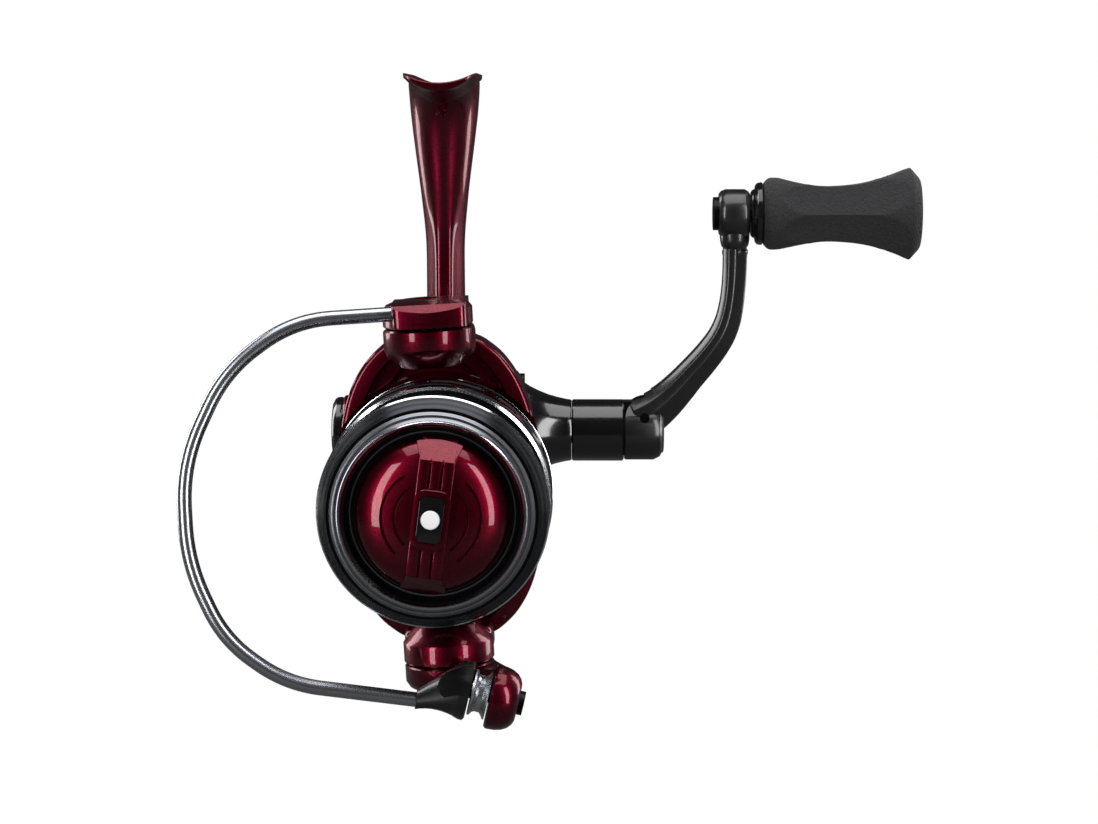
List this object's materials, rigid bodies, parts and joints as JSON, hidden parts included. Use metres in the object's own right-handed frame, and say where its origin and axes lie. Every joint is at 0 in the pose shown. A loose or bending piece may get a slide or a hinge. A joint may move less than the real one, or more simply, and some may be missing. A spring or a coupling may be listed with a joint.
{
  "type": "spinning reel",
  "caption": "Open-face spinning fishing reel with a bail wire, a front drag knob, a folding crank handle with a foam grip and a long foot for the rod.",
  "frame": {"origin": "middle of the rod seat on top of the foot", "axes": "+Z from the spool axis up to the foot, the spool axis along Y with the spool's face towards -Y, the handle towards +X"},
  "size_m": [0.1635, 0.1081, 0.1411],
  "materials": {
    "painted_red": "candy lacquer, gloss",
    "painted_black": "gloss black lacquer",
    "anodised_dark": "dark anodised, satin",
    "polished_aluminium": "polished",
    "chrome_wire": "polished",
    "steel": "ground",
    "zinc_gear": "die cast zinc, machined teeth",
    "brass": "machined",
    "foam": "closed cell foam",
    "black_plastic": "moulded",
    "gloss_plastic": "moulded, glossy",
    "red_plastic": "painted, gloss",
    "white_enamel": "enamel",
    "felt": "oiled felt"
  },
  "bodies": {
    "body": {"body_housing": "painted_red", "side_cover": "painted_black", "cover_screws": "steel", "rear_cover": "painted_black", "handle_hole_cap": "gloss_plastic", "left_bearing": "steel", "right_bearing": "steel", "front_bearing": "steel", "rear_bush": "brass", "clutch_ring": "steel", "clutch_rollers": "steel", "clutch_plate": "steel", "guide_rods": "steel", "oscillation_stud": "steel"},
    "drive_shaft": {"drive_gear": "zinc_gear", "drive_shaft": "steel", "oscillation_pinion": "zinc_gear", "handle_collar": "painted_black"},
    "handle_arm": {"handle_arm": "painted_black", "fold_pin": "steel", "knob_axle": "steel"},
    "handle_knob": {"knob_collar": "gloss_plastic", "knob_grip": "foam", "knob_core": "black_plastic", "knob_bushes": "brass", "knob_end_cap": "black_plastic"},
    "oscillation_gear": {"oscillation_gear": "zinc_gear", "crank_pin": "steel"},
    "rotor": {"rotor": "painted_red", "bail_spring": "steel", "rotor_nut": "brass", "pinion_gear": "brass", "clutch_sleeve": "steel", "pivot_screws": "steel"},
    "bail": {"bail_wire": "chrome_wire", "bail_holder": "painted_red", "bail_arm": "painted_red", "bail_cone": "gloss_plastic", "roller_screw": "steel"},
    "line_roller": {"line_roller": "polished_aluminium", "roller_bearing": "steel"},
    "main_shaft": {"main_shaft": "steel", "slider": "zinc_gear", "spool_seat": "brass"},
    "spool": {"spool": "anodised_dark", "lip_ring": "polished_aluminium", "drag_washers": "felt", "washer_clip": "steel"},
    "drag_plate": {"drag_presser": "steel"},
    "drag_knob": {"drag_knob": "red_plastic", "drag_nut": "brass", "drag_spring": "steel", "knob_insert": "gloss_plastic", "knob_disc": "white_enamel"}
  },
  "joints": [
    {"name": "handle_spin", "type": "hinge", "parent": "body", "child": "drive_shaft", "pos_m": [0, 0.005, -0.0793], "axis": [1, 0, 0], "continuous": true},
    {"name": "rotor_spin", "type": "hinge", "parent": "body", "child": "rotor", "pos_m": [0, -0.031, -0.0893], "axis": [0, 1, 0], "continuous": true},
    {"name": "oscillation_gear_spin", "type": "hinge", "parent": "body", "child": "oscillation_gear", "pos_m": [-0.008, 0.01769, -0.0873], "axis": [1, 0, 0], "continuous": true},
    {"name": "handle_fold", "type": "hinge", "parent": "drive_shaft", "child": "handle_arm", "pos_m": [0.0456, 0.005, -0.07585], "axis": [0, -1, 0], "range_deg": [0, 57]},
    {"name": "knob_spin", "type": "hinge", "parent": "handle_arm", "child": "handle_knob", "pos_m": [0.09, 0.005, -0.0295], "axis": [1, 0, 0], "continuous": true},
    {"name": "bail_swing", "type": "hinge", "parent": "rotor", "child": "bail", "pos_m": [0, -0.031, -0.0893], "axis": [-0.0593, 0, 0.9982], "range_deg": [0, 97]},
    {"name": "line_roller_spin", "type": "hinge", "parent": "bail", "child": "line_roller", "pos_m": [0.00934, -0.047, -0.13012], "axis": [0.974, 0, -0.2267], "continuous": true},
    {"name": "spool_slide", "type": "slide", "parent": "body", "child": "main_shaft", "axis": [0, 1, 0], "range_m": [-0.007, 0.007]},
    {"name": "spool_drag_spin", "type": "hinge", "parent": "main_shaft", "child": "spool", "pos_m": [0, -0.051, -0.0893], "axis": [0, 1, 0], "continuous": true},
    {"name": "drag_knob_turn", "type": "hinge", "parent": "drag_plate", "child": "drag_knob", "pos_m": [0, -0.065, -0.0893], "axis": [0, 1, 0], "range_deg": [0, 720]},
    {"name": "drag_plate_slide", "type": "slide", "parent": "main_shaft", "child": "drag_plate", "axis": [0, -1, 0], "range_m": [0, 0.0016]}
  ],
  "couplings": [
    {"joint": "rotor_spin", "follows": "handle_spin", "ratio": 5.1429},
    {"joint": "oscillation_gear_spin", "follows": "handle_spin", "ratio": -0.5},
    {"joint": "drag_plate_slide", "follows": "drag_knob_turn", "m_per_rad": 0.00012732}
  ]
}
